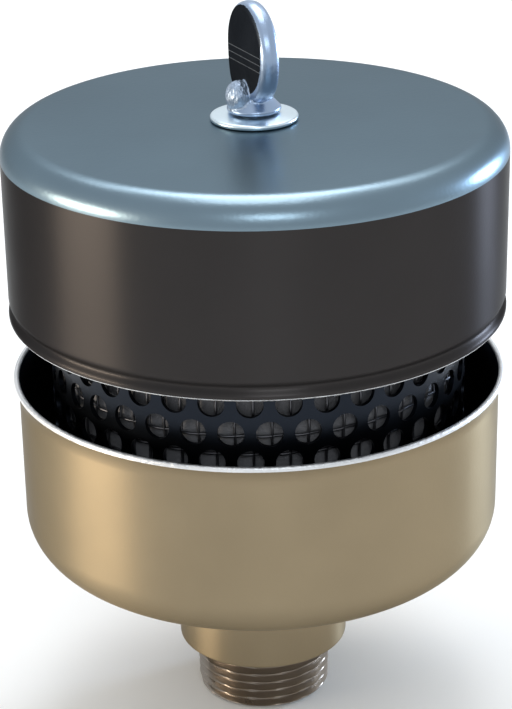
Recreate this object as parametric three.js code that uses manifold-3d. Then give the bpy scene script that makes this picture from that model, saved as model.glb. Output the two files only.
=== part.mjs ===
// Pneumatic exhaust muffler, 3/4 inch pipe size: a perforated element clamped between two drawn steel cups,
// fed through a pipe nipple below and held together by one thumb screw on top.
// Millimetres, +Z up. The origin is on the axis, at the lower end of the nipple.
import * as THREE from "three";
import { mergeVertices } from "three/addons/utils/BufferGeometryUtils.js";
import Module from "manifold-3d";

const wasm = await Module();
wasm.setup();

// ---- driving dimensions ----
const SHEET = 0.9; // drawn cup and cap, 20 gauge
const GAP = 0.3; // between touching pieces
const SIDES = 36; // facets of the large round pieces

const THREAD_PITCH = 1.814; // 3/4-14 NPT
const THREAD_DEPTH = 0.8 * THREAD_PITCH;
const THREAD_TURNS = 6;
const THREAD_CREST = 0.4; // flat on each crest
const FREE_END_CHAMFER = 0.6;
const TAPER = 1 / 32; // radius gained per millimetre of thread
const NIPPLE_R = 12.98; // crest radius at the free end
const NIPPLE_PLAIN_R = 13.33;
const NIPPLE_BORE_R = 10.46;
const NIPPLE_TOP_Z = 40.7;

const COLLAR_Z = 11.3;
const COLLAR_R = 16.65;
const COLLAR_CHAMFER = 0.5;
const CUP_Z = 32.9; // underside of the cup's floor
const CUP_R = 45.9;
const CUP_DEPTH = 36.5;
const CUP_CORNER = 9.1;
const CUP_FLARE = 0.9; // the rim stands this far outside the wall
const FLARE_HEIGHT = 4;
const FLOOR_GASKET = 1;
const FLOOR_GASKET_R = 17.5;
const LOCK_NUT = 33.5; // across flats
const LOCK_NUT_HEIGHT = 4;

const CAP_R = 46.8;
const CAP_TOP_Z = 117.7;
const CAP_DEPTH = 35.8;
const CAP_CORNER = 5;
const CAP_FLARE = 0.1;
const CAP_HOLE_R = 3.9;

const GUARD_R = 39.4;
const GUARD_WALL = 0.8;
const GUARD_ROWS = 10;
const GUARD_TURN = 2.5; // degrees, where the hole pattern starts
const ROW_PITCH = 5.6;
const FIRST_ROW_Z = 49.9;
const HOLE_R = 2.44;

const SCREEN_R = 38.1;
const SCREEN_WALL = 0.7;
const FELT_R = 37;
const CORE_R = 21.6;
const CORE_WALL = 0.8;
const CORE_SIDES = 24;
const CORE_ROWS = 8;
const CORE_ROW_PITCH = 8.4;
const CORE_HOLE_R = 2;
const CORE_MARGIN = 8.5; // from the tube's end to its first row

const GASKET = 2.4;
const GASKET_R = 36;
const GASKET_HOLE_R = 24;
const END_CAP = 0.8;
const END_CAP_LIP = 5.2;
const END_CAP_HOLE_R = 20.3;

const FELT_CLEARANCE = 0.5; // round the core tube
const END_CAP_CLEARANCE = 0.5; // round the guard tube

const BRIDGE = 2.4;
const BRIDGE_HALF = 9.3; // from the axis to the middle of its round end
const BRIDGE_END_R = 4;
const POST_TOP_Z = 111.8;
const POST_FLAT = 11.1; // across flats
const POST_BORE_R = 3.5;
const POST_BORE_DEPTH = 27;
const STUD_R = 3.175;
const STUD_HOLE_R = STUD_R + 0.35;
const STUD_ROOT = 1; // let into the post
const STUD_END = 1; // past the nut
const POST_NUT = 11.1; // across flats
const POST_NUT_HEIGHT = 5.5;
const LOCK_WASHER = 1.5;
const LOCK_WASHER_WIDTH = 2;
const LOCK_WASHER_SPLIT = 16; // degrees left open

const WASHER = 0.8;
const WASHER_R = 8.15;
const WASHER_RISE = 0.35;
const WASHER_HOLE_R = 3.575;
const WASHER_FLAT = 1.5; // raised ring round the hole
const WASHER_RIM = 0.8; // flat ring at the edge
const SCREW_R = 3.175; // 1/4-20 thread
const SCREW_LENGTH = 25.4;
const HUB_R = 5.07;
const PADDLE_WIDTH = 19.2;
const PADDLE_HEIGHT = 18;
const PADDLE_THICK = 3.6;
const PADDLE_RIM = 1; // rounding of the paddle's edge
const PADDLE_TURN = 20.5; // degrees, the near edge from -Y towards +X
const BOSS = new THREE.Vector3(2.5, 2.7, 3); // half sizes of the rough pad low on one face
const BOSS_OUT = 3; // from the axis to its middle
const HEAD_TOP_Z = 139.7;

// ---- radii and heights worked out from them ----
const CLEAR_R = NIPPLE_PLAIN_R + GAP; // of what the nipple passes through
const CUP_FLOOR_Z = CUP_Z + SHEET;
const LOWER_GASKET_Z = CUP_FLOOR_Z + GAP;
const LOWER_CAP_Z = LOWER_GASKET_Z + GASKET + GAP;
const ELEMENT_Z = LOWER_CAP_Z + END_CAP + GAP;
const UPPER_GASKET_Z = CAP_TOP_Z - SHEET - GAP - GASKET;
const UPPER_CAP_Z = UPPER_GASKET_Z - GAP - END_CAP;
const ELEMENT_H = UPPER_CAP_Z - GAP - ELEMENT_Z;
const LOCK_NUT_Z = CUP_FLOOR_Z + GAP + FLOOR_GASKET + GAP;
const BRIDGE_Z = NIPPLE_TOP_Z + GAP;
const LOCK_WASHER_Z = BRIDGE_Z - GAP - LOCK_WASHER;
const POST_NUT_Z = LOCK_WASHER_Z - GAP - POST_NUT_HEIGHT;
const WASHER_Z = CAP_TOP_Z + GAP;
const HEAD_Z = WASHER_Z + WASHER + WASHER_RISE + GAP;

const steel = (color, roughness) =>
  new THREE.MeshStandardMaterial({ color, roughness, metalness: 1 });
const plated = steel(0x9e8c71, 0.32);
const satin = steel(0x69767f, 0.3);
const bright = steel(0xb8c2cc, 0.22);
const thread = steel(0x6f6a63, 0.35);
const guardSteel = steel(0x70757b, 0.35);
const wire = steel(0x3c3f42, 0.5);
const felt = new THREE.MeshStandardMaterial({ color: 0x6b6d6e, roughness: 1 });
const rubber = new THREE.MeshStandardMaterial({ color: 0x17181a, roughness: 0.8 });

const v2 = (r, z) => new THREE.Vector2(r, z);
const radians = THREE.MathUtils.degToRad;

// Points of an arc in the (radius, height) plane, ends included; angles in degrees.
function arc(r, z, radius, from, to, steps) {
  return Array.from({ length: steps + 1 }, (_, i) => {
    const a = radians(from + ((to - from) * i) / steps);
    return v2(r + radius * Math.cos(a), z + radius * Math.sin(a));
  });
}

// A closed profile, anticlockwise with radius to the right, turned about Z.
function revolve(profile, segments) {
  const loop = [...profile, profile[0].clone()];
  return new THREE.LatheGeometry(loop, segments).rotateX(Math.PI / 2);
}

function tube(outer, inner, z, height, segments) {
  return revolve([v2(inner, z), v2(outer, z), v2(outer, z + height), v2(inner, z + height)], segments);
}

// A plain sleeve as long as the element.
function elementTube(outer, inner) {
  return tube(outer, inner, ELEMENT_Z, ELEMENT_H, SIDES);
}

// A flat plate of any outline, lying on height z.
function plate(shape, z, thickness, curveSegments = 12) {
  const options = { depth: thickness, bevelEnabled: false, curveSegments };
  return new THREE.ExtrudeGeometry(shape, options).translate(0, 0, z);
}

function hexagon(acrossFlats) {
  const corner = acrossFlats / Math.sqrt(3);
  const shape = new THREE.Shape();
  for (let i = 0; i < 6; i++) {
    const a = radians(60 * i);
    shape[i ? "lineTo" : "moveTo"](corner * Math.cos(a), corner * Math.sin(a));
  }
  shape.closePath();
  return shape;
}

function roundHole(shape, radius) {
  const hole = new THREE.Path();
  hole.absarc(0, 0, radius, 0, 2 * Math.PI, true);
  shape.holes.push(hole);
  return shape;
}

// Geometry to a closed solid and back, for cuts and joins.
function solid(geometry) {
  const bare = geometry.index ? geometry.toNonIndexed() : geometry.clone();
  bare.deleteAttribute("normal");
  bare.deleteAttribute("uv");
  const merged = mergeVertices(bare, 1e-4);
  return new wasm.Manifold(
    new wasm.Mesh({
      numProp: 3,
      vertProperties: merged.attributes.position.array,
      triVerts: new Uint32Array(merged.index.array),
    }),
  );
}

function geometryOf(made) {
  const mesh = made.getMesh();
  const geometry = new THREE.BufferGeometry();
  geometry.setAttribute("position", new THREE.BufferAttribute(mesh.vertProperties, 3));
  geometry.setIndex(new THREE.BufferAttribute(mesh.triVerts, 1));
  geometry.computeVertexNormals();
  return geometry;
}

// A drawn cup with its floor's outside at z 0 and its rim up: floor hole, corner radius, slightly flared rim.
function drawnCup(radius, depth, corner, holeRadius, flare) {
  const inner = radius - SHEET;
  const outerCorner = arc(radius - corner, corner, corner, -90, 0, 5);
  const innerCorner = arc(radius - corner, corner, corner - SHEET, 0, -90, 5);
  const flareStart = depth - FLARE_HEIGHT;
  return revolve(
    [
      v2(holeRadius, 0),
      ...outerCorner,
      v2(radius, flareStart),
      v2(radius + flare, depth - 1),
      v2(radius + flare, depth - 0.3),
      v2(radius + flare - 0.3, depth),
      v2(inner + flare + 0.2, depth),
      v2(inner + flare, depth - 0.3),
      v2(inner, flareStart),
      ...innerCorner,
      v2(holeRadius, SHEET),
    ],
    SIDES,
  );
}

// A tube with staggered rows of four-sided holes, each on a facet's middle or on an edge between two.
function perforatedTube({ outer, wall, sides, rows, firstRow, rowPitch, holeRadius }) {
  const step = Math.PI / sides;
  const punches = [];
  for (let row = 0; row < rows; row++) {
    for (let column = 0; column < sides / 2; column++) {
      const punch = new THREE.CylinderGeometry(holeRadius, holeRadius, 4 * wall, 4);
      punch.translate(0, outer - wall / 2, 0);
      punch.rotateZ(Math.PI + (4 * column + row) * step);
      punches.push(solid(punch.translate(0, 0, firstRow + row * rowPitch)));
    }
  }
  const blank = solid(tube(outer, outer - wall, ELEMENT_Z, ELEMENT_H, sides));
  return geometryOf(blank.subtract(wasm.Manifold.union(punches)));
}

// Spade head: a flat oval with a rounded rim, rising out of a flared round hub on the screw's shank,
// with a rounded pad low on one face.
function thumbScrew() {
  const tip = HEAD_Z - SCREW_LENGTH;
  const turned = revolve(
    [
      v2(0, tip),
      v2(SCREW_R - 0.8, tip),
      v2(SCREW_R, tip + 0.8),
      v2(SCREW_R, HEAD_Z),
      v2(HUB_R, HEAD_Z),
      v2(HUB_R, HEAD_Z + 0.8),
      v2(4, HEAD_Z + 2.7),
      v2(3, HEAD_Z + 5.6),
      v2(2.1, HEAD_Z + 9.6),
      v2(0, HEAD_Z + 11.2),
    ],
    24,
  );
  const oval = new THREE.Shape();
  oval.absellipse(0, 0, PADDLE_WIDTH / 2, PADDLE_HEIGHT / 2, 0, 2 * Math.PI);
  const paddle = new THREE.ExtrudeGeometry(oval, {
    depth: PADDLE_THICK - 2 * PADDLE_RIM,
    bevelThickness: PADDLE_RIM,
    bevelSize: PADDLE_RIM,
    bevelOffset: -PADDLE_RIM,
    bevelSegments: 2,
    curveSegments: 12,
  });
  paddle.translate(0, 0, PADDLE_RIM - PADDLE_THICK / 2);
  paddle.rotateX(Math.PI / 2).rotateZ(Math.PI / 2);
  paddle.translate(0, 0, HEAD_TOP_Z - PADDLE_HEIGHT / 2);
  const boss = new THREE.SphereGeometry(1, 14, 8).scale(BOSS.x, BOSS.y, BOSS.z);
  boss.translate(-BOSS_OUT, 0, HEAD_Z + BOSS.z);
  return geometryOf(solid(turned).add(solid(paddle)).add(solid(boss)));
}

// Pipe nipple: taper thread below as rings, a plain length through the collar and the cup's floor.
function nipple() {
  const crest = [];
  for (let i = 0; i < THREAD_TURNS; i++) {
    const z = 0.5 + i * THREAD_PITCH;
    const r = NIPPLE_R + z * TAPER;
    const root = z + (THREAD_PITCH + THREAD_CREST) / 2;
    crest.push(v2(r, z), v2(r, z + THREAD_CREST), v2(r - THREAD_DEPTH, root));
  }
  return revolve(
    [
      v2(NIPPLE_BORE_R, 0),
      v2(NIPPLE_R - FREE_END_CHAMFER, 0),
      ...crest,
      v2(NIPPLE_PLAIN_R, COLLAR_Z - 0.2),
      v2(NIPPLE_PLAIN_R, NIPPLE_TOP_Z),
      v2(NIPPLE_BORE_R, NIPPLE_TOP_Z),
    ],
    SIDES,
  );
}

function collar() {
  const top = CUP_Z - GAP;
  return revolve(
    [
      v2(CLEAR_R, COLLAR_Z),
      v2(COLLAR_R - COLLAR_CHAMFER, COLLAR_Z),
      v2(COLLAR_R, COLLAR_Z + COLLAR_CHAMFER),
      v2(COLLAR_R, top),
      v2(CLEAR_R, top),
    ],
    SIDES,
  );
}

// Bar across the nipple's upper end that carries the post.
function bridge() {
  const shape = new THREE.Shape();
  shape.absarc(BRIDGE_HALF, 0, BRIDGE_END_R, -Math.PI / 2, Math.PI / 2, false);
  shape.absarc(-BRIDGE_HALF, 0, BRIDGE_END_R, Math.PI / 2, 1.5 * Math.PI, false);
  return plate(roundHole(shape, STUD_HOLE_R), BRIDGE_Z, BRIDGE);
}

function tiePost() {
  const bottom = BRIDGE_Z + BRIDGE + GAP;
  const body = solid(plate(hexagon(POST_FLAT), bottom, POST_TOP_Z - bottom));
  const studTop = bottom + STUD_ROOT;
  const studLength = studTop - (POST_NUT_Z - STUD_END);
  const stud = new THREE.CylinderGeometry(STUD_R, STUD_R, studLength, 20).rotateX(Math.PI / 2);
  const bore = new THREE.CylinderGeometry(POST_BORE_R, POST_BORE_R, 2 * POST_BORE_DEPTH, 24);
  bore.rotateX(Math.PI / 2);
  stud.translate(0, 0, studTop - studLength / 2);
  bore.translate(0, 0, POST_TOP_Z);
  return geometryOf(body.add(solid(stud)).subtract(solid(bore)));
}

function lockWasher() {
  const outer = STUD_HOLE_R + LOCK_WASHER_WIDTH;
  const from = radians(LOCK_WASHER_SPLIT / 2);
  const to = radians(360 - LOCK_WASHER_SPLIT / 2);
  const shape = new THREE.Shape();
  shape.absarc(0, 0, outer, from, to, false);
  shape.absarc(0, 0, STUD_HOLE_R, to, from, true);
  return plate(shape, LOCK_WASHER_Z, LOCK_WASHER);
}

// End cap of the element, open side up: a disc with a raised outer lip and a hole for the core.
function endCap() {
  const lip = GUARD_R + END_CAP_CLEARANCE;
  return revolve(
    [
      v2(END_CAP_HOLE_R, 0),
      v2(lip + END_CAP, 0),
      v2(lip + END_CAP, END_CAP_LIP),
      v2(lip, END_CAP_LIP),
      v2(lip, END_CAP),
      v2(END_CAP_HOLE_R, END_CAP),
    ],
    SIDES,
  );
}

// Washer pressed to a shallow dome, its hole raised above its edge.
function domeWasher() {
  return revolve(
    [
      v2(WASHER_HOLE_R, WASHER_RISE),
      v2(WASHER_HOLE_R + WASHER_FLAT, WASHER_RISE),
      v2(WASHER_R - WASHER_RIM, 0),
      v2(WASHER_R, 0),
      v2(WASHER_R, WASHER - 0.3),
      v2(WASHER_R - WASHER_RIM, WASHER),
      v2(WASHER_HOLE_R + WASHER_FLAT, WASHER + WASHER_RISE),
      v2(WASHER_HOLE_R, WASHER + WASHER_RISE),
    ],
    32,
  );
}

const muffler = new THREE.Group();

function place(name, geometry, material, z = 0, upsideDown = false, turn = 0) {
  const mesh = new THREE.Mesh(geometry, material);
  mesh.name = name;
  mesh.position.z = z;
  mesh.rotation.set(upsideDown ? Math.PI : 0, 0, radians(turn));
  muffler.add(mesh);
}

// ---- pipe end and cup ----
place("threaded_nipple", nipple(), thread);
place("pipe_collar", collar(), plated);
place("bottom_cup", drawnCup(CUP_R, CUP_DEPTH, CUP_CORNER, CLEAR_R, CUP_FLARE), plated, CUP_Z);
place("floor_gasket", tube(FLOOR_GASKET_R, CLEAR_R, CUP_FLOOR_Z + GAP, FLOOR_GASKET, SIDES), rubber);
place("lock_nut", plate(roundHole(hexagon(LOCK_NUT), CLEAR_R), LOCK_NUT_Z, LOCK_NUT_HEIGHT), bright);

// ---- centre post ----
place("post_bridge", bridge(), thread);
place("tie_post", tiePost(), thread);
place("post_lock_washer", lockWasher(), bright);
place("post_nut", plate(roundHole(hexagon(POST_NUT), STUD_HOLE_R), POST_NUT_Z, POST_NUT_HEIGHT), bright);

// ---- silencing element ----
const guard = {
  outer: GUARD_R,
  wall: GUARD_WALL,
  sides: SIDES,
  rows: GUARD_ROWS,
  firstRow: FIRST_ROW_Z,
  rowPitch: ROW_PITCH,
  holeRadius: HOLE_R,
};
const core = {
  outer: CORE_R,
  wall: CORE_WALL,
  sides: CORE_SIDES,
  rows: CORE_ROWS,
  firstRow: ELEMENT_Z + CORE_MARGIN,
  rowPitch: CORE_ROW_PITCH,
  holeRadius: CORE_HOLE_R,
};
place("lower_gasket", tube(GASKET_R, GASKET_HOLE_R, LOWER_GASKET_Z, GASKET, SIDES), rubber);
place("lower_end_cap", endCap(), guardSteel, LOWER_CAP_Z);
place("guard_tube", perforatedTube(guard), guardSteel, 0, false, GUARD_TURN);
place("wire_screen", elementTube(SCREEN_R, SCREEN_R - SCREEN_WALL), wire);
place("felt_element", elementTube(FELT_R, CORE_R + FELT_CLEARANCE), felt);
place("core_tube", perforatedTube(core), guardSteel);
place("upper_end_cap", endCap(), guardSteel, UPPER_CAP_Z + END_CAP, true);
place("upper_gasket", tube(GASKET_R, GASKET_HOLE_R, UPPER_GASKET_Z, GASKET, SIDES), rubber);

// ---- cap and its thumb screw ----
place("top_cap", drawnCup(CAP_R, CAP_DEPTH, CAP_CORNER, CAP_HOLE_R, CAP_FLARE), satin, CAP_TOP_Z, true);
place("dome_washer", domeWasher(), bright, WASHER_Z);
place("thumb_screw", thumbScrew(), bright, 0, false, PADDLE_TURN);

export default muffler;
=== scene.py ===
"""Looks of a pneumatic exhaust muffler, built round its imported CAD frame. Metres, +Z up, front at -Y."""

import math
import random

import bmesh
import bpy
from mathutils import Matrix, Vector


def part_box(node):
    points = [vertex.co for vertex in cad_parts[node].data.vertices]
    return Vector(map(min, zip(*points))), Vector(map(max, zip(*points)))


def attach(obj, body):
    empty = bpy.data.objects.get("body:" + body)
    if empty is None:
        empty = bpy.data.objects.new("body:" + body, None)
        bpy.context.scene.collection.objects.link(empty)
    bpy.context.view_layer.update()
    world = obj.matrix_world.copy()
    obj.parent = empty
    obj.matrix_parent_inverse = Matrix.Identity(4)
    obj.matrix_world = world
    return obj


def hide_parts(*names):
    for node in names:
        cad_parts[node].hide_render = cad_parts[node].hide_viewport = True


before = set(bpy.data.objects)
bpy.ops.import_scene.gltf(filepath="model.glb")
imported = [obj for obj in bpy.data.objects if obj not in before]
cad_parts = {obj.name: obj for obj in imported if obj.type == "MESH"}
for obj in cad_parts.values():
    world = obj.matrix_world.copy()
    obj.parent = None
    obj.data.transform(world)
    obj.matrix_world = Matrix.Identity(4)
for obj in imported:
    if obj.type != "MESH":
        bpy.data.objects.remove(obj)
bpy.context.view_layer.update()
random.seed(7)

MM = 0.001
TURN = 2 * math.pi
FINE = 192  # segments of a large round piece
SHEET = 0.9 * MM
CUP_CORNER = 9.1 * MM
CAP_CORNER = 5 * MM
FLARE_HEIGHT = 4 * MM
CUP_FLARE = 0.9 * MM
CAP_FLARE = 0.1 * MM
CAP_PINCH = 0.75 * MM
CAP_HOLE = 3.9 * MM
LIP_RADIUS = SHEET * 0.58

HOLE_COLUMNS = 36
HOLE_ROWS = 10
HOLE_RADIUS = 2.44 * MM
ROW_PITCH = 5.6 * MM
FIRST_ROW = 12 * MM  # above the tube's lower end
HOLE_START = math.radians(272.5)
GUARD_RADIUS = 39.4 * MM
TUBE_WALL = 0.8 * MM  # both perforated tubes

CORE_COLUMNS = 24
CORE_ROWS = 8
CORE_HOLE_RADIUS = 2 * MM
CORE_ROW_PITCH = 8.4 * MM
CORE_FIRST_ROW = 8.5 * MM

WIRE = 0.27 * MM  # radius of a screen wire
WIRE_RING_GAP = 3.5 * MM
WIRE_OFFSET = 0.15  # shift of the upright wires from the holes, in wire spacings

PIPE_HOLE = 13.63 * MM  # holes that the nipple passes through
STUD_HOLE = 3.525 * MM
GASKET_BORE = 24 * MM
END_CAP_SHEET = 0.8 * MM
END_CAP_HOLE = 20.3 * MM

FLOOR_SIZE = 8  # metres
FLOOR_DROP = 0.5 * MM
SURROUND = 0.75  # strength of the pale surround

THREAD_PITCH = 1.814 * MM
THREAD_DEPTH = 1.2 * MM
NIPPLE_BORE = 10.46 * MM
TAPER = 1 / 32
PADDLE_TURN = math.radians(20.5)
HUB_TALL = 8 * MM
PADDLE_WIDE = 9.55 * MM  # half its width
PADDLE_TALL = 9 * MM  # half its height
PADDLE_FACE = 1.78 * MM  # half its thickness
PADDLE_ROUND = 0.14  # share of its half width taken by the round rim
FAR_CORNER = 0.25  # lower corners of the outline: 1 is an ellipse, smaller is squarer
NEAR_CORNER = 0.6
LINES_BELOW_TOP = 9 * MM
LINE_PITCH = 1.3 * MM
LINE_SLOPE = 0.06
BOSS_SIZE = Vector((2.5, 2.7, 3)) * MM
BOSS_PLACE = (-3 * MM, -0.3 * MM, 3 * MM)  # its centre, from the axis at the seat
HUB_RADIUS = 5.07 * MM
HUB_NECK = 1.5 * MM
SEAT_GAP = 0.3 * MM  # between washer and hub
SHANK_RADIUS = 3.175 * MM
SHANK_PITCH = 1.27 * MM
SHANK_THREAD_DEPTH = 0.7 * MM

LENS = 110.9
EYE_SIDE = -0.0099  # the eye's place, in cap radii
EYE_BACK = -8.213
EYE_HEIGHT = 4.9983
LOOK_DOWN = 0.4016
ROLL = -0.0182


def size(node):
    """Outer radius, lowest and highest point of a round CAD node."""
    low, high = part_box(node)
    return (high.x - low.x) / 2, low.z, high.z


# ---- mesh helpers ----


def make_object(name, verts, faces, sharp=35):
    mesh = bpy.data.meshes.new(name)
    mesh.from_pydata(verts, [], faces)
    mesh.validate()
    work = bmesh.new()
    work.from_mesh(mesh)
    bmesh.ops.recalc_face_normals(work, faces=work.faces)
    work.to_mesh(mesh)
    work.free()
    mesh.shade_smooth()
    mesh.set_sharp_from_angle(angle=math.radians(sharp))
    piece = bpy.data.objects.new(name, mesh)
    bpy.context.scene.collection.objects.link(piece)
    return piece


def closed_grid(name, rows, sharp=35):
    """A skin over rows of equal length that closes on itself both ways."""
    count = len(rows[0])
    verts = [point for row in rows for point in row]
    faces = []
    for i in range(len(rows)):
        below = i * count
        above = ((i + 1) % len(rows)) * count
        for j in range(count):
            k = (j + 1) % count
            faces.append((below + j, below + k, above + k, above + j))
    return make_object(name, verts, faces, sharp)


def ring(radius, z, segments=FINE):
    steps = (TURN * i / segments for i in range(segments))
    return [(radius * math.cos(a), radius * math.sin(a), z) for a in steps]


def revolve(name, profile, segments=FINE, sharp=35):
    return closed_grid(name, [ring(r, z, segments) for r, z in profile], sharp)


def arc(r, z, radius, start, end, steps):
    points = []
    for i in range(steps + 1):
        a = math.radians(start + (end - start) * i / steps)
        points.append((r + radius * math.cos(a), z + radius * math.sin(a)))
    return points


def soften(corners, radius, steps=3):
    """A closed profile with each corner rounded by a short curve."""
    rounded = []
    for i, corner in enumerate(corners):
        here = Vector(corner)
        before = Vector(corners[i - 1]) - here
        after = Vector(corners[(i + 1) % len(corners)]) - here
        reach = min(radius, before.length * 0.45, after.length * 0.45)
        start = here + before.normalized() * reach
        end = here + after.normalized() * reach
        for k in range(steps + 1):
            t = k / steps
            point = start * (1 - t) ** 2 + here * 2 * t * (1 - t) + end * t * t
            rounded.append((point.x, point.y))
    return rounded


def finish_piece(piece, node, body, material):
    piece.data.materials.clear()
    piece.data.materials.append(material)
    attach(piece, body)
    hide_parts(node)
    return piece


# ---- materials ----


def metal(name, color, rough, spread=0.1, scale=900, bump=0.04, stain=0.12, stretch=(1, 1, 1)):
    """Metal with a cloudy colour, a fine grain and a roughness that varies by the spread."""
    material = bpy.data.materials.new(name)
    material.use_nodes = True
    nodes = material.node_tree.nodes
    links = material.node_tree.links
    shader = nodes["Principled BSDF"]
    shader.inputs["Metallic"].default_value = 1
    place = nodes.new("ShaderNodeTexCoord")
    mapping = nodes.new("ShaderNodeMapping")
    mapping.inputs["Scale"].default_value = stretch
    links.new(place.outputs["Object"], mapping.inputs["Vector"])

    def noise(frequency, detail):
        node = nodes.new("ShaderNodeTexNoise")
        node.inputs["Scale"].default_value = frequency
        node.inputs["Detail"].default_value = detail
        links.new(mapping.outputs["Vector"], node.inputs["Vector"])
        return node.outputs["Fac"]

    tint = nodes.new("ShaderNodeMix")
    tint.data_type = "RGBA"
    tint.inputs["A"].default_value = (*(c * (1 - stain) for c in color), 1)
    tint.inputs["B"].default_value = (*(min(1, c * (1 + stain)) for c in color), 1)
    links.new(noise(45, 5), tint.inputs["Factor"])
    links.new(tint.outputs["Result"], shader.inputs["Base Color"])

    shader.inputs["Roughness"].default_value = rough
    if spread:
        gloss = nodes.new("ShaderNodeMapRange")
        gloss.inputs["To Min"].default_value = max(0.03, rough - spread)
        gloss.inputs["To Max"].default_value = rough + spread
        links.new(noise(120, 8), gloss.inputs["Value"])
        links.new(gloss.outputs["Result"], shader.inputs["Roughness"])

    relief = nodes.new("ShaderNodeBump")
    relief.inputs["Strength"].default_value = bump
    relief.inputs["Distance"].default_value = 0.2 * MM
    links.new(noise(scale, 3), relief.inputs["Height"])
    links.new(relief.outputs["Normal"], shader.inputs["Normal"])
    return material


def dull_at_edge(material, tint):
    """Tarnished metal brightens less than clean metal where it is seen at a low angle."""
    shader = material.node_tree.nodes["Principled BSDF"]
    shader.inputs["Specular Tint"].default_value = (tint, tint, tint, 1)
    return material


def drawn_metal(name, color, rough, marks, *detail):
    """Metal with fine marks round the axis, which stretch a light into an upright band."""
    material = dull_at_edge(metal(name, color, rough, *detail), 0.45)
    nodes = material.node_tree.nodes
    shader = nodes["Principled BSDF"]
    shader.inputs["Anisotropic"].default_value = marks
    shader.inputs["Anisotropic Rotation"].default_value = 0.25
    around = nodes.new("ShaderNodeTangent")
    around.direction_type = "RADIAL"
    around.axis = "Z"
    material.node_tree.links.new(around.outputs["Tangent"], shader.inputs["Tangent"])
    return material


def soft_material(name, dark, light, rough, scale, bump):
    """Felt or rubber: mottled colour over a fine rough surface."""
    material = metal(name, dark, rough, 0.05, scale, bump, 0.0)
    nodes = material.node_tree.nodes
    nodes["Principled BSDF"].inputs["Metallic"].default_value = 0
    tint = next(n for n in nodes if n.bl_idname == "ShaderNodeMix")
    tint.inputs["B"].default_value = (*light, 1)
    return material


# A metal's name, colour, roughness, spread of the roughness, grain scale, bump and stain.
# Drawn metal has the strength of its marks after the roughness.
# Painted light and shade: the cap is one steel, its top painted lighter and bluer, its wall painted near
# black.
CAP_TOP_LIT_STEEL = dull_at_edge(metal("cap_steel", (0.2, 0.275, 0.33), 0.3, 0, 1400, 0.12, 0.1), 0.5)
CAP_WALL_SHADED_STEEL = drawn_metal("cap_wall_shaded_steel", (0.046, 0.042, 0.041), 0.36, 0.85, 0.04, 1400, 0.05, 0.08)
# Plated steel of the cup and collar; its tan colour is a painted reflection of warm surroundings.
CUP_PLATING_PAINTED_TAN = drawn_metal("cup_plating", (0.33, 0.26, 0.165), 0.38, 0.8, 0.05, 1400, 0.08, 0.1)
PIPE_STEEL = metal("pipe_steel", (0.29, 0.25, 0.21), 0.3, 0.1, 1500, 0.2, 0.25)
ZINC = metal("zinc", (0.76, 0.88, 1), 0.3, 0.08, 1100, 0.12, 0.1)
CAST_ZINC = metal("cast_zinc", (0.36, 0.46, 0.62), 0.34, 0.08, 900, 0.2, 0.12)
ROUGH_ZINC = metal("rough_zinc", (0.38, 0.47, 0.6), 0.42, 0.15, 1500, 1, 0.4, (1, 1, 0.3))
ROUGH_ZINC.node_tree.nodes["Bump"].inputs["Distance"].default_value = 0.4 * MM
GUARD_STEEL = metal("guard_steel", (0.02, 0.024, 0.032), 0.3, 0.08, 1200, 0.06, 0.12)
# Painted highlight: the cut edge of the sheet gets a near-white colour, so the rims show a bright line.
CUT_EDGE_HIGHLIGHT = metal("cut_edge_highlight", (0.95, 0.97, 1), 0.42, 0.2, 1300, 1, 0.5)
# Painted shade for the inside faces of the cap and cup.
INSIDE_SHADE = dull_at_edge(metal("inside_painted_shade", (0.045, 0.05, 0.062), 0.4, 0.08, 1200, 0.1, 0.15), 0.3)
WIRE_STEEL = metal("screen_wire", (0.12, 0.12, 0.13), 0.45, 0.1, 1500, 0.1, 0.2)
FELT = soft_material("felt", (0.10, 0.10, 0.11), (0.24, 0.24, 0.25), 0.95, 1800, 0.9)
RUBBER = soft_material("rubber", (0.012, 0.012, 0.013), (0.03, 0.03, 0.032), 0.7, 1600, 0.3)


def painted_shade_face(line_top, line_pitch, slope):
    """Painted shade: the flat faces of the thumb screw are dark, crossed low down by thin bright sloping
    lines.
    """
    material = dull_at_edge(metal("painted_shade_face", (0.04, 0.047, 0.058), 0.45, 0.1, 900, 0.3, 0.3), 0.1)
    nodes = material.node_tree.nodes
    links = material.node_tree.links

    def math_node(operation, first, second):
        node = nodes.new("ShaderNodeMath")
        node.operation = operation
        for socket, value in zip(node.inputs, (first, second)):
            if isinstance(value, (int, float)):
                socket.default_value = value
            else:
                links.new(value, socket)
        return node.outputs["Value"]

    place = nodes.new("ShaderNodeTexCoord")
    split = nodes.new("ShaderNodeSeparateXYZ")
    links.new(place.outputs["Object"], split.inputs["Vector"])
    below = math_node("SUBTRACT", line_top, split.outputs["Z"])
    leaning = math_node("SUBTRACT", below, math_node("MULTIPLY", split.outputs["Y"], slope))
    count = math_node("DIVIDE", leaning, line_pitch)
    near_line = math_node("LESS_THAN", math_node("FRACT", count, 0), 0.07)
    in_range = math_node("MULTIPLY", math_node("GREATER_THAN", count, 0), math_node("LESS_THAN", count, 3))
    shader = nodes["Principled BSDF"]
    plain = shader.inputs["Base Color"].links[0].from_socket
    lined = nodes.new("ShaderNodeMix")
    lined.data_type = "RGBA"
    lined.inputs["B"].default_value = (0.3, 0.32, 0.34, 1)
    links.new(math_node("MULTIPLY", near_line, in_range), lined.inputs["Factor"])
    links.new(plain, lined.inputs["A"])
    links.new(lined.outputs["Result"], shader.inputs["Base Color"])
    return material


# ---- cap and cup ----


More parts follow.
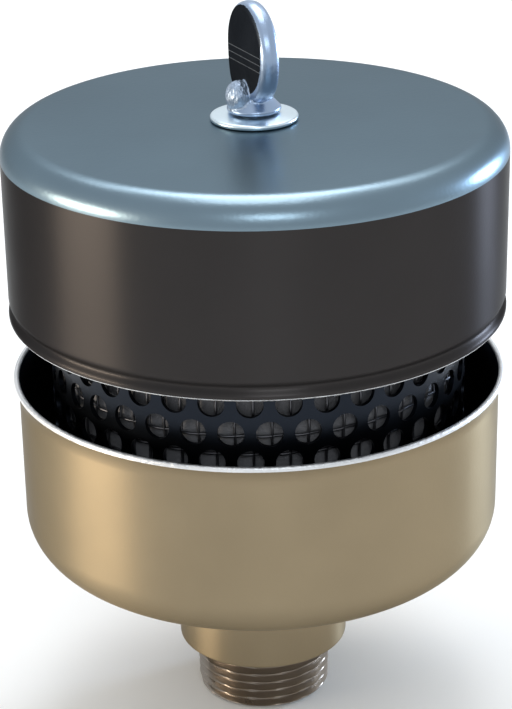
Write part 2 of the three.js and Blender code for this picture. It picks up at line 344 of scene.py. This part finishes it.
def drawn_profile(radius, depth, corner, hole, flare, pinch=0):
    """Section of a drawn cup, floor at height 0: the wall pinches in, then flares to a full round lip."""
    wall = radius - flare
    lip = radius - LIP_RADIUS
    steps = 16
    outside = []
    for i in range(steps + 1):
        t = i / steps
        z = depth - FLARE_HEIGHT + (FLARE_HEIGHT - 1.6 * LIP_RADIUS) * t
        outside.append((wall + flare * t * t - pinch * math.sin(math.pi * t ** 1.3) ** 2, z))
    points = [(hole, 0)]
    points += arc(wall - corner, corner, corner, -90, 0, 20)
    points += outside
    points += arc(lip, depth - LIP_RADIUS, LIP_RADIUS, -20, 200, 12)
    points += [(r - SHEET, z) for r, z in reversed(outside)]
    points += arc(wall - corner, corner, corner - SHEET, 0, -90, 20)
    points.append((hole, SHEET))
    return points


def paint_between(piece, material, low, high):
    """Give the faces between two heights a material of their own."""
    piece.data.materials.append(material)
    index = len(piece.data.materials) - 1
    for face in piece.data.polygons:
        if low <= face.center.z <= high:
            face.material_index = index


def paint_inside_shade(piece, material):
    """Painted shade: the inside faces of a drawn cup get a dark colour."""
    piece.data.materials.append(material)
    index = len(piece.data.materials) - 1
    for face in piece.data.polygons:
        outward = Vector((face.center.x, face.center.y, 0)).normalized()
        if face.normal.dot(outward) < -0.5:
            face.material_index = index


def top_cap():
    radius, low, high = size("top_cap")
    section = drawn_profile(radius, high - low, CAP_CORNER, CAP_HOLE, CAP_FLARE, CAP_PINCH)
    piece = revolve("top_cap_shell", [(r, high - z) for r, z in section])
    finish_piece(piece, "top_cap", "cap", CAP_TOP_LIT_STEEL)
    # The wall takes the darker, painted-shade copy of the cap steel.
    paint_between(piece, CAP_WALL_SHADED_STEEL, low, high - CAP_CORNER)
    paint_inside_shade(piece, INSIDE_SHADE)
    # Painted highlight along the cap's lower rim.
    paint_between(piece, CUT_EDGE_HIGHLIGHT, low, low + SHEET / 2)


def bottom_cup():
    radius, low, high = size("bottom_cup")
    hole = size("threaded_nipple")[0] + 0.3 * MM
    section = drawn_profile(radius, high - low, CUP_CORNER, hole, CUP_FLARE)
    piece = revolve("bottom_cup_shell", [(r, low + z) for r, z in section])
    finish_piece(piece, "bottom_cup", "base", CUP_PLATING_PAINTED_TAN)
    paint_inside_shade(piece, INSIDE_SHADE)
    # Painted highlight along the cup's rim.
    paint_between(piece, CUT_EDGE_HIGHLIGHT, high - SHEET * 0.9, high)


# ---- plain round pieces, each a softened section in the CAD node's own space ----


def round_piece(node, body, material, inner, edge):
    outer, low, high = size(node)
    corners = [(inner, low), (outer, low), (outer, high), (inner, high)]
    piece = revolve(node + "_fine", soften(corners, edge))
    return finish_piece(piece, node, body, material)


def end_cap(node, upside_down):
    """A shallow tray with a central hole, its rim up or down."""
    outer, low, high = size(node)
    tall = high - low
    corners = [
        (END_CAP_HOLE, 0),
        (outer, 0),
        (outer, tall),
        (outer - END_CAP_SHEET, tall),
        (outer - END_CAP_SHEET, END_CAP_SHEET),
        (END_CAP_HOLE, END_CAP_SHEET),
    ]
    section = [(r, high - z if upside_down else low + z) for r, z in soften(corners, 0.3 * MM)]
    piece = revolve(node + "_fine", section)
    return finish_piece(piece, node, "element", GUARD_STEEL)


def hex_piece(node, body, material, hole):
    """A chamfered hexagon nut."""
    low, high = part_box(node)
    flat = (high.y - low.y) / 2
    segments = 96
    rows = []
    chamfer = 0.6 * MM
    for r_scale, z in ((0.94, low.z), (1, low.z + chamfer), (1, high.z - chamfer), (0.94, high.z)):
        row = []
        for i in range(segments):
            a = TURN * i / segments
            to_flat = (a % (TURN / 6)) - TURN / 12
            row.append((flat * r_scale / math.cos(to_flat), a, z))
        rows.append([(r * math.cos(a), r * math.sin(a), z) for r, a, z in row])
    rows.append(ring(hole, high.z, segments))
    rows.append(ring(hole, low.z, segments))
    piece = closed_grid(node + "_fine", rows, 25)
    return finish_piece(piece, node, body, material)


# ---- perforated tubes ----


def perforated(name, outer, wall, low, high, columns, rows, first, pitch, radius, start):
    """A tube with staggered round holes, each in a cell of its own."""
    across = 8
    upright = 6
    width = TURN / columns
    points = {}
    flat = []
    faces = []

    def at(u, z):
        key = (round((u % TURN) * 1e5) % round(TURN * 1e5), round(z * 1e7))
        if key not in points:
            points[key] = len(flat)
            flat.append((u, z))
        return points[key]

    for row in range(rows):
        middle = low + first + row * pitch
        for column in range(columns):
            centre = start + (column + row / 2) * width
            edge = []
            for i in range(across):
                edge.append((-0.5 + i / across, -0.5))
            for i in range(upright):
                edge.append((0.5, -0.5 + i / upright))
            for i in range(across):
                edge.append((0.5 - i / across, 0.5))
            for i in range(upright):
                edge.append((-0.5, 0.5 - i / upright))
            rim = []
            for x, y in edge:
                a = math.atan2(y * pitch, x * width * outer)
                rim.append((centre + radius * math.cos(a) / outer, middle + radius * math.sin(a)))
            outside = [at(centre + x * width, middle + y * pitch) for x, y in edge]
            inside = [at(u, z) for u, z in rim]
            for i in range(len(edge)):
                k = (i + 1) % len(edge)
                faces.append((outside[i], outside[k], inside[k], inside[i]))
    steps = columns * across
    for bottom, top, shift in (
        (low, low + first - pitch / 2, 0),
        (low + first + (rows - 0.5) * pitch, high, (rows - 1) / 2),
    ):
        for i in range(steps):
            u = start + shift * width - width / 2 + i * TURN / steps
            v = u + TURN / steps
            faces.append((at(u, bottom), at(v, bottom), at(v, top), at(u, top)))

    used = {}
    for face in faces:
        for i, a in enumerate(face):
            b = face[(i + 1) % len(face)]
            used[(a, b)] = used.get((a, b), 0) + 1
    count = len(flat)
    verts = []
    for r in (outer, outer - wall):
        verts += [(r * math.cos(u), r * math.sin(u), z) for u, z in flat]
    skin = list(faces)
    skin += [tuple(i + count for i in reversed(face)) for face in faces]
    skin += [(b, a, a + count, b + count) for a, b in used if (b, a) not in used]
    return make_object(name, verts, skin, 40)


def guard_tube():
    _, low, high = size("guard_tube")
    piece = perforated(
        "guard_tube_fine", GUARD_RADIUS, TUBE_WALL, low, high,
        HOLE_COLUMNS, HOLE_ROWS, FIRST_ROW, ROW_PITCH, HOLE_RADIUS, HOLE_START,
    )
    return finish_piece(piece, "guard_tube", "element", GUARD_STEEL)


def core_tube():
    outer, low, high = size("core_tube")
    piece = perforated(
        "core_tube_fine", outer, TUBE_WALL, low, high,
        CORE_COLUMNS, CORE_ROWS, CORE_FIRST_ROW, CORE_ROW_PITCH, CORE_HOLE_RADIUS, 0,
    )
    return finish_piece(piece, "core_tube", "element", GUARD_STEEL)


def wire_screen():
    """Upright wires and rings that pass over and under each other."""
    outer, low, high = size("wire_screen")
    middle = outer - 2 * WIRE
    uprights = 2 * HOLE_COLUMNS
    rings = int((high - low - 2 * WIRE) / WIRE_RING_GAP)
    sides = 6
    verts = []
    faces = []

    def add_tube(centres, closed):
        first = len(verts)
        for point, out, side in centres:
            for k in range(sides):
                a = TURN * k / sides
                verts.append(point + out * (WIRE * math.cos(a)) + side * (WIRE * math.sin(a)))
        count = len(centres)
        for i in range(count if closed else count - 1):
            here = first + i * sides
            there = first + ((i + 1) % count) * sides
            for k in range(sides):
                m = (k + 1) % sides
                faces.append((here + k, here + m, there + m, there + k))
        if not closed:
            faces.append(tuple(first + k for k in reversed(range(sides))))
            faces.append(tuple(first + (count - 1) * sides + k for k in range(sides)))

    for n in range(uprights):
        a = HOLE_START + TURN * (n + WIRE_OFFSET) / uprights
        out = Vector((math.cos(a), math.sin(a), 0))
        side = Vector((-math.sin(a), math.cos(a), 0))
        line = []
        for i in range(rings * 4 + 1):
            z = low + WIRE + (high - low - 2 * WIRE) * i / (rings * 4)
            wave = math.cos(math.pi * ((z - low) / WIRE_RING_GAP + n)) * WIRE * 0.9
            line.append((out * (middle + wave) + Vector((0, 0, z)), out, side))
        add_tube(line, False)
    for m in range(rings):
        z = low + (m + 0.5) * WIRE_RING_GAP
        loop = []
        for i in range(uprights * 4):
            a = HOLE_START + TURN * (i / 4 + WIRE_OFFSET) / uprights
            out = Vector((math.cos(a), math.sin(a), 0))
            wave = -math.cos(math.pi * (m + 0.5 + i / 4)) * WIRE * 0.9
            loop.append((out * (middle + wave) + Vector((0, 0, z)), out, Vector((0, 0, 1))))
        add_tube(loop, True)
    piece = make_object("wire_screen_woven", [tuple(v) for v in verts], faces, 80)
    return finish_piece(piece, "wire_screen", "element", WIRE_STEEL)


def felt_element():
    """A felt sleeve with a lumpy, fibrous outside."""
    outer, low, high = size("felt_element")
    inner = size("core_tube")[0] + 0.5 * MM
    levels = 60
    segments = 240
    rows = []
    for i in range(levels + 1):
        z = low + (high - low) * i / levels
        row = []
        for j in range(segments):
            a = TURN * j / segments
            r = outer - random.random() * 0.35 * MM
            row.append((r * math.cos(a), r * math.sin(a), z))
        rows.append(row)
    rows.append(ring(inner, high, segments))
    rows.append(ring(inner, low, segments))
    piece = closed_grid("felt_sleeve", rows)
    return finish_piece(piece, "felt_element", "element", FELT)


# ---- threads and post ----


def thread_radius(crest, depth, turns, angle):
    phase = (turns - angle / TURN) % 1
    return crest - depth * min(1, max(0, abs(2 * phase - 1) * 1.25 - 0.12))


def threaded_nipple():
    """Taper pipe thread as a real right-hand helix, dying out under the collar."""
    plain, low, high = size("threaded_nipple")
    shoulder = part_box("pipe_collar")[0].z
    free_end = plain - (shoulder - low) * TAPER
    segments = 144
    per_turn = 14
    levels = int((shoulder - low) / THREAD_PITCH * per_turn)
    rows = [ring(NIPPLE_BORE + 0.2 * MM, low, segments)]
    for i in range(levels + 1):
        rise = (shoulder - low) * i / levels
        fade = min(1, (rise + 0.3 * MM) / (0.9 * MM), (shoulder - low - rise) / (0.4 * MM))
        row = []
        for j in range(segments):
            a = TURN * j / segments
            crest = free_end + rise * TAPER
            r = thread_radius(crest, THREAD_DEPTH * max(0, fade), rise / THREAD_PITCH, a)
            r -= max(0, 0.5 * MM - rise) * 0.9
            row.append((r * math.cos(a), r * math.sin(a), low + rise))
        rows.append(row)
    rows.append(ring(plain, high, segments))
    rows.append(ring(NIPPLE_BORE, high, segments))
    rows.append(ring(NIPPLE_BORE, low + 0.3 * MM, segments))
    piece = closed_grid("nipple_with_thread", rows, 30)
    return finish_piece(piece, "threaded_nipple", "base", PIPE_STEEL)


def bevel_cad_copy(node, body, material, width):
    """The CAD node's own shape with its edges broken."""
    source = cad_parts[node]
    piece = bpy.data.objects.new(node + "_fine", source.data.copy())
    bpy.context.scene.collection.objects.link(piece)
    work = bmesh.new()
    work.from_mesh(piece.data)
    bmesh.ops.remove_doubles(work, verts=work.verts, dist=1e-6)
    bmesh.ops.dissolve_limit(work, angle_limit=math.radians(2), verts=work.verts, edges=work.edges)
    edges = [e for e in work.edges if len(e.link_faces) == 2 and e.calc_face_angle(0) > math.radians(50)]
    bmesh.ops.bevel(work, geom=edges, offset=width, segments=2, affect="EDGES", clamp_overlap=True)
    work.to_mesh(piece.data)
    work.free()
    piece.data.shade_smooth()
    piece.data.set_sharp_from_angle(angle=math.radians(30))
    return finish_piece(piece, node, body, material)


# ---- washer and thumb screw ----


def dome_washer():
    outer, low, high = size("dome_washer")
    hole = 3.6 * MM
    thick = 0.8 * MM
    rise = high - low - thick
    sunk = 0.22 * MM
    top = []
    under = []
    steps = 10
    for i in range(steps + 1):
        t = i / steps
        r = hole + (outer - 0.6 * MM - hole) * t
        lift = rise * (1 - t * t)
        top.append((r, low + thick + lift))
        under.append((r, low - sunk + lift))
    edge_radius = (thick + sunk) / 2
    edge = arc(outer - edge_radius, low - sunk + edge_radius, edge_radius, -80, 80, 8)
    piece = revolve("dome_washer_fine", under + edge + list(reversed(top)), 128)
    return finish_piece(piece, "dome_washer", "washer", ZINC)


def paddle_half(s):
    """Half thickness of the paddle from its middle (0) to its edge (1): flat, then a round rim."""
    if s < 1 - PADDLE_ROUND:
        return PADDLE_FACE
    t = (s - 1 + PADDLE_ROUND) / PADDLE_ROUND
    return PADDLE_FACE * math.sqrt(max(0, 1 - t * t))


def paddle_mesh(top):
    """Upright oval with fuller lower corners and a round rim."""
    steps = 40
    segments = 96
    rings = [i / steps for i in range(1, steps + 1)]
    verts = []
    faces = []
    for sign in (1, -1):
        first = len(verts)
        verts.append((sign * paddle_half(0), 0, top - PADDLE_TALL))
        for s in rings:
            for j in range(segments):
                a = TURN * j / segments
                across = math.cos(a)
                if math.sin(a) < 0:
                    fullness = FAR_CORNER if across > 0 else NEAR_CORNER
                    across = math.copysign(abs(across) ** fullness, across)
                y = PADDLE_WIDE * s * across
                z = top - PADDLE_TALL + PADDLE_TALL * s * math.sin(a)
                verts.append((sign * paddle_half(s), y, z))
        for j in range(segments):
            k = (j + 1) % segments
            faces.append((first, first + 1 + j, first + 1 + k))
        for i in range(steps - 1):
            a = first + 1 + i * segments
            b = a + segments
            for j in range(segments):
                k = (j + 1) % segments
                faces.append((a + j, b + j, b + k, a + k))
    half = len(verts) // 2
    last = 1 + (steps - 1) * segments
    for j in range(segments):
        k = (j + 1) % segments
        faces.append((last + j, last + k, half + last + k, half + last + j))
    return make_object("paddle", verts, faces)


def boss_centre(seat):
    x, y, height = BOSS_PLACE
    return Vector((x, y, seat + height))


def grip_boss(seat):
    """Broad rough pad low on one face, with fine upright ridges, cut off flat at the seat."""
    boss = bmesh.new()
    bmesh.ops.create_icosphere(boss, subdivisions=5, radius=1)
    for v in boss.verts:
        ridge = 0.022 * math.sin(26 * v.co.y + 3 * v.co.z) + random.uniform(-0.025, 0.025)
        v.co = boss_centre(seat) + v.co * BOSS_SIZE * (1 + ridge)
        v.co.z = max(v.co.z, seat + 0.05 * MM)
    mesh = bpy.data.meshes.new("boss")
    boss.to_mesh(mesh)
    boss.free()
    piece = bpy.data.objects.new("boss", mesh)
    bpy.context.scene.collection.objects.link(piece)
    return piece


def paint_head(head, top, seat):
    """Painted shade on the flat middle of both faces, and the rough pad, told apart by place before the
    head is turned.
    """
    head.data.materials.append(painted_shade_face(top - LINES_BELOW_TOP, LINE_PITCH, LINE_SLOPE))
    head.data.materials.append(ROUGH_ZINC)
    centre = boss_centre(seat)
    for face in head.data.polygons:
        from_boss = face.center - centre
        scaled = Vector(d / size for d, size in zip(from_boss, BOSS_SIZE))
        if scaled.length < 1.15 and face.center.x < -PADDLE_FACE - 0.12 * MM:
            face.material_index = 2
            continue
        flat = abs(face.normal.x) > 0.8 and abs(face.center.x) < PADDLE_FACE + 0.12 * MM
        across = min(0, face.center.y) / PADDLE_WIDE
        upward = min(0, face.center.z - (top - PADDLE_TALL)) / PADDLE_TALL
        in_shaded_flat = math.hypot(across, upward) < 1 - PADDLE_ROUND or face.center.y > 0
        if flat and in_shaded_flat and face.center.z > seat + 1.2 * MM:
            face.material_index = 1


def hub_mesh(seat):
    """Flared foot of the head, revolved with a hairline bore on its axis."""
    bore = 0.2 * MM
    flare = []
    steps = 16
    for i in range(steps + 1):
        t = i / steps
        flare.append((HUB_NECK + (HUB_RADIUS - HUB_NECK) * (1 - t) ** 2.4, seat + 0.7 * MM + HUB_TALL * t))
    foot = [(bore, seat), (HUB_RADIUS - bore, seat)]
    return revolve("hub", [*foot, *flare, (bore, seat + HUB_TALL + 0.8 * MM)], 96)


def screw_head(top, seat):
    """Spade head fused from paddle, hub and pad."""
    parts = [paddle_mesh(top), hub_mesh(seat), grip_boss(seat)]
    bpy.ops.object.select_all(action="DESELECT")
    for part in parts:
        part.select_set(True)
    bpy.context.view_layer.objects.active = parts[0]
    bpy.ops.object.join()
    head = parts[0]
    head.name = "thumb_screw_head"
    fuse = head.modifiers.new("fuse", "REMESH")
    fuse.mode = "VOXEL"
    fuse.voxel_size = 0.17 * MM
    smooth = head.modifiers.new("smooth", "SMOOTH")
    smooth.factor = 0.5
    smooth.iterations = 14
    bpy.ops.object.modifier_apply(modifier="fuse")
    bpy.ops.object.modifier_apply(modifier="smooth")
    head.data.shade_smooth()
    finish_piece(head, "thumb_screw", "screw", CAST_ZINC)
    paint_head(head, top, seat)
    head.data.transform(Matrix.Rotation(PADDLE_TURN, 4, "Z"))


def screw_shank(low, seat):
    """Threaded shank with a chamfered end and a hairline bore. The head already replaces the CAD node."""
    segments = 64
    bore = 0.3 * MM
    length = seat - low
    levels = int(length / SHANK_PITCH * 10)
    rows = [ring(bore, low, segments)]
    for i in range(levels + 1):
        rise = length * i / levels
        chamfer = max(0, 0.8 * MM - rise) * 0.7
        row = []
        for j in range(segments):
            a = TURN * j / segments
            r = thread_radius(SHANK_RADIUS, SHANK_THREAD_DEPTH, rise / SHANK_PITCH, a) - chamfer
            row.append((r * math.cos(a), r * math.sin(a), low + rise))
        rows.append(row)
    rows.append(ring(bore, seat, segments))
    shank = closed_grid("thumb_screw_shank", rows)
    shank.data.materials.append(ZINC)
    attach(shank, "screw")


def thumb_screw():
    low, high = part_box("thumb_screw")
    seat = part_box("dome_washer")[1].z + SEAT_GAP
    screw_head(high.z, seat)
    screw_shank(low.z, seat)


# ---- camera, floor and light ----


def camera():
    """The view is set in cap radii, so it follows the frame's size."""
    radius, _, _ = size("top_cap")
    data = bpy.data.cameras.new("camera")
    data.sensor_width = 36
    data.lens = LENS
    eye = bpy.data.objects.new("camera", data)
    bpy.context.scene.collection.objects.link(eye)
    eye.location = (EYE_SIDE * radius, EYE_BACK * radius, EYE_HEIGHT * radius)
    eye.matrix_world = (
        Matrix.Translation(eye.location)
        @ Matrix.Rotation(math.pi / 2 - LOOK_DOWN, 4, "X")
        @ Matrix.Rotation(ROLL, 4, "Z")
    )
    bpy.context.scene.camera = eye


def floor():
    """Plain pale floor, the same to the eye and in reflections."""
    bpy.ops.mesh.primitive_plane_add(size=FLOOR_SIZE, location=(0, 0, -FLOOR_DROP))
    piece = bpy.context.object
    piece.name = "floor"
    material = bpy.data.materials.new("floor")
    material.use_nodes = True
    shader = material.node_tree.nodes["Principled BSDF"]
    shader.inputs["Base Color"].default_value = (0.86, 0.86, 0.85, 1)
    shader.inputs["Roughness"].default_value = 1
    shader.inputs["Specular IOR Level"].default_value = 0
    piece.data.materials.append(material)


def area_light(name, place, width, height, power, color=(1, 1, 1), aim=(0, 0, 0.08), spread=180):
    data = bpy.data.lights.new(name, "AREA")
    data.shape = "RECTANGLE"
    data.size = width
    data.size_y = height
    data.energy = power
    data.color = color
    data.spread = math.radians(spread)
    lamp = bpy.data.objects.new(name, data)
    bpy.context.scene.collection.objects.link(lamp)
    lamp.location = place
    toward = Vector(aim) - Vector(place)
    lamp.rotation_euler = toward.to_track_quat("-Z", "Y").to_euler()


def lighting():
    """Soft light: a pale surround and five soft boxes, the left one warm and the right one cool."""
    bpy.context.scene.view_settings.view_transform = "Standard"
    world = bpy.data.worlds.new("studio")
    bpy.context.scene.world = world
    world.use_nodes = True
    back = world.node_tree.nodes["Background"]
    back.inputs["Color"].default_value = (0.92, 0.96, 1, 1)
    back.inputs["Strength"].default_value = SURROUND
    area_light("overhead", (0, 0.32, 1), 0.42, 0.8, 3.4, (0.97, 0.98, 1))
    area_light("floor_wash", (0, 0.75, 1.1), 1.2, 0.5, 2, aim=(0, 0.5, 0), spread=100)
    area_light("front", (0.12, -0.95, 0.7), 0.35, 0.3, 1.6, (0.9, 0.96, 1))
    area_light("left", (-0.85, -0.2, 0.12), 0.5, 0.2, 1.5, (1, 0.86, 0.68), spread=100)
    area_light("right", (0.75, 0.4, 0.12), 0.2, 0.2, 1.7, (0.62, 0.77, 1), spread=100)


camera()
floor()
lighting()
top_cap()
bottom_cup()
round_piece("pipe_collar", "base", CUP_PLATING_PAINTED_TAN, PIPE_HOLE, 0.5 * MM)
round_piece("floor_gasket", "base", RUBBER, PIPE_HOLE, 0.2 * MM)
round_piece("lower_gasket", "base", RUBBER, GASKET_BORE, 0.5 * MM)
round_piece("upper_gasket", "element", RUBBER, GASKET_BORE, 0.5 * MM)
end_cap("lower_end_cap", False)
end_cap("upper_end_cap", True)
guard_tube()
core_tube()
wire_screen()
felt_element()
threaded_nipple()
hex_piece("lock_nut", "base", ZINC, PIPE_HOLE)
hex_piece("post_nut", "base", ZINC, STUD_HOLE)
bevel_cad_copy("tie_post", "base", PIPE_STEEL, 0.3 * MM)
bevel_cad_copy("post_bridge", "base", PIPE_STEEL, 0.3 * MM)
bevel_cad_copy("post_lock_washer", "base", ZINC, 0.15 * MM)
dome_washer()
thumb_screw()
